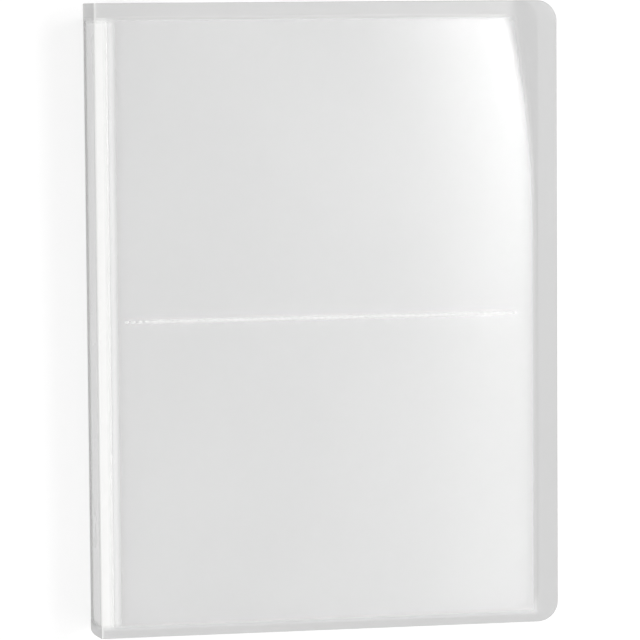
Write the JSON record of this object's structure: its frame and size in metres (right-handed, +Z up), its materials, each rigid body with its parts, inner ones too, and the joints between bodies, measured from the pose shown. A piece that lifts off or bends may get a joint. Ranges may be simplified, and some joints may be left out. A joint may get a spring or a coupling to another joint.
{
  "type": "pocket display book",
  "caption": "Closed translucent display book: scored wrap cover with rounded fore-edge corners, grooved binding strip and welded two-tier clear pocket leaves.",
  "frame": {"origin": "centre of the footprint, on the surface that the closed book lies on", "axes": "+Z up from the back cover to the front cover, +Y towards the head of the book, -X towards the spine"},
  "size_m": [0.1694, 0.226, 0.028],
  "materials": {
    "cover_sheet": "frosted translucent polypropylene, soft sheen",
    "binding": "milky white welded polypropylene",
    "pocket_film": "clear smooth polypropylene film, glossy"
  },
  "bodies": {
    "back_cover": {"back_cover": "cover_sheet"},
    "spine": {"spine_panel": "cover_sheet", "binding_strip": "binding"},
    "front_cover": {"front_cover": "cover_sheet"},
    "leaf_01": {"leaf_01": "pocket_film"},
    "leaf_02": {"leaf_02": "pocket_film"},
    "leaf_03": {"leaf_03": "pocket_film"},
    "leaf_04": {"leaf_04": "pocket_film"},
    "leaf_05": {"leaf_05": "pocket_film"},
    "leaf_06": {"leaf_06": "pocket_film"},
    "leaf_07": {"leaf_07": "pocket_film"},
    "leaf_08": {"leaf_08": "pocket_film"},
    "leaf_09": {"leaf_09": "pocket_film"},
    "leaf_10": {"leaf_10": "pocket_film"},
    "leaf_11": {"leaf_11": "pocket_film"},
    "leaf_12": {"leaf_12": "pocket_film"},
    "leaf_13": {"leaf_13": "pocket_film"},
    "leaf_14": {"leaf_14": "pocket_film"},
    "leaf_15": {"leaf_15": "pocket_film"},
    "leaf_16": {"leaf_16": "pocket_film"},
    "leaf_17": {"leaf_17": "pocket_film"},
    "leaf_18": {"leaf_18": "pocket_film"},
    "leaf_19": {"leaf_19": "pocket_film"},
    "leaf_20": {"leaf_20": "pocket_film"},
    "leaf_21": {"leaf_21": "pocket_film"},
    "leaf_22": {"leaf_22": "pocket_film"},
    "leaf_23": {"leaf_23": "pocket_film"},
    "leaf_24": {"leaf_24": "pocket_film"}
  },
  "joints": [
    {"name": "spine_hinge", "type": "hinge", "parent": "back_cover", "child": "spine", "pos_m": [-0.0833, 0, 0], "axis": [0, -1, 0], "range_deg": [0, 90]},
    {"name": "front_hinge", "type": "hinge", "parent": "spine", "child": "front_cover", "pos_m": [-0.0833, 0, 0.028], "axis": [0, -1, 0], "range_deg": [0, 90]},
    {"name": "leaf_01_turn", "type": "hinge", "parent": "spine", "child": "leaf_01", "pos_m": [-0.078, 0, 0.02619], "axis": [0, -1, 0], "range_deg": [0, 75.61]},
    {"name": "leaf_02_turn", "type": "hinge", "parent": "spine", "child": "leaf_02", "pos_m": [-0.078, 0, 0.02511], "axis": [0, -1, 0], "range_deg": [0, 69.31]},
    {"name": "leaf_03_turn", "type": "hinge", "parent": "spine", "child": "leaf_03", "pos_m": [-0.078, 0, 0.02404], "axis": [0, -1, 0], "range_deg": [0, 63.01]},
    {"name": "leaf_04_turn", "type": "hinge", "parent": "spine", "child": "leaf_04", "pos_m": [-0.078, 0, 0.02295], "axis": [0, -1, 0], "range_deg": [0, 56.71]},
    {"name": "leaf_05_turn", "type": "hinge", "parent": "spine", "child": "leaf_05", "pos_m": [-0.078, 0, 0.02187], "axis": [0, -1, 0], "range_deg": [0, 50.41]},
    {"name": "leaf_06_turn", "type": "hinge", "parent": "spine", "child": "leaf_06", "pos_m": [-0.078, 0, 0.0208], "axis": [0, -1, 0], "range_deg": [0, 44.11]},
    {"name": "leaf_07_turn", "type": "hinge", "parent": "spine", "child": "leaf_07", "pos_m": [-0.078, 0, 0.01971], "axis": [0, -1, 0], "range_deg": [0, 37.81]},
    {"name": "leaf_08_turn", "type": "hinge", "parent": "spine", "child": "leaf_08", "pos_m": [-0.078, 0, 0.01863], "axis": [0, -1, 0], "range_deg": [0, 31.51]},
    {"name": "leaf_09_turn", "type": "hinge", "parent": "spine", "child": "leaf_09", "pos_m": [-0.078, 0, 0.01756], "axis": [0, -1, 0], "range_deg": [0, 25.21]},
    {"name": "leaf_10_turn", "type": "hinge", "parent": "spine", "child": "leaf_10", "pos_m": [-0.078, 0, 0.01648], "axis": [0, -1, 0], "range_deg": [0, 18.91]},
    {"name": "leaf_11_turn", "type": "hinge", "parent": "spine", "child": "leaf_11", "pos_m": [-0.078, 0, 0.0154], "axis": [0, -1, 0], "range_deg": [0, 12.61]},
    {"name": "leaf_12_turn", "type": "hinge", "parent": "spine", "child": "leaf_12", "pos_m": [-0.078, 0, 0.01431], "axis": [0, -1, 0], "range_deg": [0, 6.31]},
    {"name": "leaf_13_turn", "type": "hinge", "parent": "spine", "child": "leaf_13", "pos_m": [-0.078, 0, 0.01324], "axis": [0, -1, 0], "range_deg": [-6.31, 0]},
    {"name": "leaf_14_turn", "type": "hinge", "parent": "spine", "child": "leaf_14", "pos_m": [-0.078, 0, 0.01215], "axis": [0, -1, 0], "range_deg": [-12.61, 0]},
    {"name": "leaf_15_turn", "type": "hinge", "parent": "spine", "child": "leaf_15", "pos_m": [-0.078, 0, 0.01107], "axis": [0, -1, 0], "range_deg": [-18.91, 0]},
    {"name": "leaf_16_turn", "type": "hinge", "parent": "spine", "child": "leaf_16", "pos_m": [-0.078, 0, 0.01], "axis": [0, -1, 0], "range_deg": [-25.21, 0]},
    {"name": "leaf_17_turn", "type": "hinge", "parent": "spine", "child": "leaf_17", "pos_m": [-0.078, 0, 0.00891], "axis": [0, -1, 0], "range_deg": [-31.51, 0]},
    {"name": "leaf_18_turn", "type": "hinge", "parent": "spine", "child": "leaf_18", "pos_m": [-0.078, 0, 0.00783], "axis": [0, -1, 0], "range_deg": [-37.81, 0]},
    {"name": "leaf_19_turn", "type": "hinge", "parent": "spine", "child": "leaf_19", "pos_m": [-0.078, 0, 0.00675], "axis": [0, -1, 0], "range_deg": [-44.11, 0]},
    {"name": "leaf_20_turn", "type": "hinge", "parent": "spine", "child": "leaf_20", "pos_m": [-0.078, 0, 0.00568], "axis": [0, -1, 0], "range_deg": [-50.41, 0]},
    {"name": "leaf_21_turn", "type": "hinge", "parent": "spine", "child": "leaf_21", "pos_m": [-0.078, 0, 0.0046], "axis": [0, -1, 0], "range_deg": [-56.71, 0]},
    {"name": "leaf_22_turn", "type": "hinge", "parent": "spine", "child": "leaf_22", "pos_m": [-0.078, 0, 0.00351], "axis": [0, -1, 0], "range_deg": [-63.01, 0]},
    {"name": "leaf_23_turn", "type": "hinge", "parent": "spine", "child": "leaf_23", "pos_m": [-0.078, 0, 0.00244], "axis": [0, -1, 0], "range_deg": [-69.31, 0]},
    {"name": "leaf_24_turn", "type": "hinge", "parent": "spine", "child": "leaf_24", "pos_m": [-0.078, 0, 0.00136], "axis": [0, -1, 0], "range_deg": [-75.61, 0]}
  ],
  "couplings": [
    {"joint": "leaf_01_turn", "follows": "front_hinge", "ratio": 0.84},
    {"joint": "leaf_02_turn", "follows": "front_hinge", "ratio": 0.77},
    {"joint": "leaf_03_turn", "follows": "front_hinge", "ratio": 0.7},
    {"joint": "leaf_04_turn", "follows": "front_hinge", "ratio": 0.63},
    {"joint": "leaf_05_turn", "follows": "front_hinge", "ratio": 0.56},
    {"joint": "leaf_06_turn", "follows": "front_hinge", "ratio": 0.49},
    {"joint": "leaf_07_turn", "follows": "front_hinge", "ratio": 0.42},
    {"joint": "leaf_08_turn", "follows": "front_hinge", "ratio": 0.35},
    {"joint": "leaf_09_turn", "follows": "front_hinge", "ratio": 0.28},
    {"joint": "leaf_10_turn", "follows": "front_hinge", "ratio": 0.21},
    {"joint": "leaf_11_turn", "follows": "front_hinge", "ratio": 0.14},
    {"joint": "leaf_12_turn", "follows": "front_hinge", "ratio": 0.07},
    {"joint": "leaf_13_turn", "follows": "spine_hinge", "ratio": -0.07},
    {"joint": "leaf_14_turn", "follows": "spine_hinge", "ratio": -0.14},
    {"joint": "leaf_15_turn", "follows": "spine_hinge", "ratio": -0.21},
    {"joint": "leaf_16_turn", "follows": "spine_hinge", "ratio": -0.28},
    {"joint": "leaf_17_turn", "follows": "spine_hinge", "ratio": -0.35},
    {"joint": "leaf_18_turn", "follows": "spine_hinge", "ratio": -0.42},
    {"joint": "leaf_19_turn", "follows": "spine_hinge", "ratio": -0.49},
    {"joint": "leaf_20_turn", "follows": "spine_hinge", "ratio": -0.56},
    {"joint": "leaf_21_turn", "follows": "spine_hinge", "ratio": -0.63},
    {"joint": "leaf_22_turn", "follows": "spine_hinge", "ratio": -0.7},
    {"joint": "leaf_23_turn", "follows": "spine_hinge", "ratio": -0.77},
    {"joint": "leaf_24_turn", "follows": "spine_hinge", "ratio": -0.84}
  ]
}
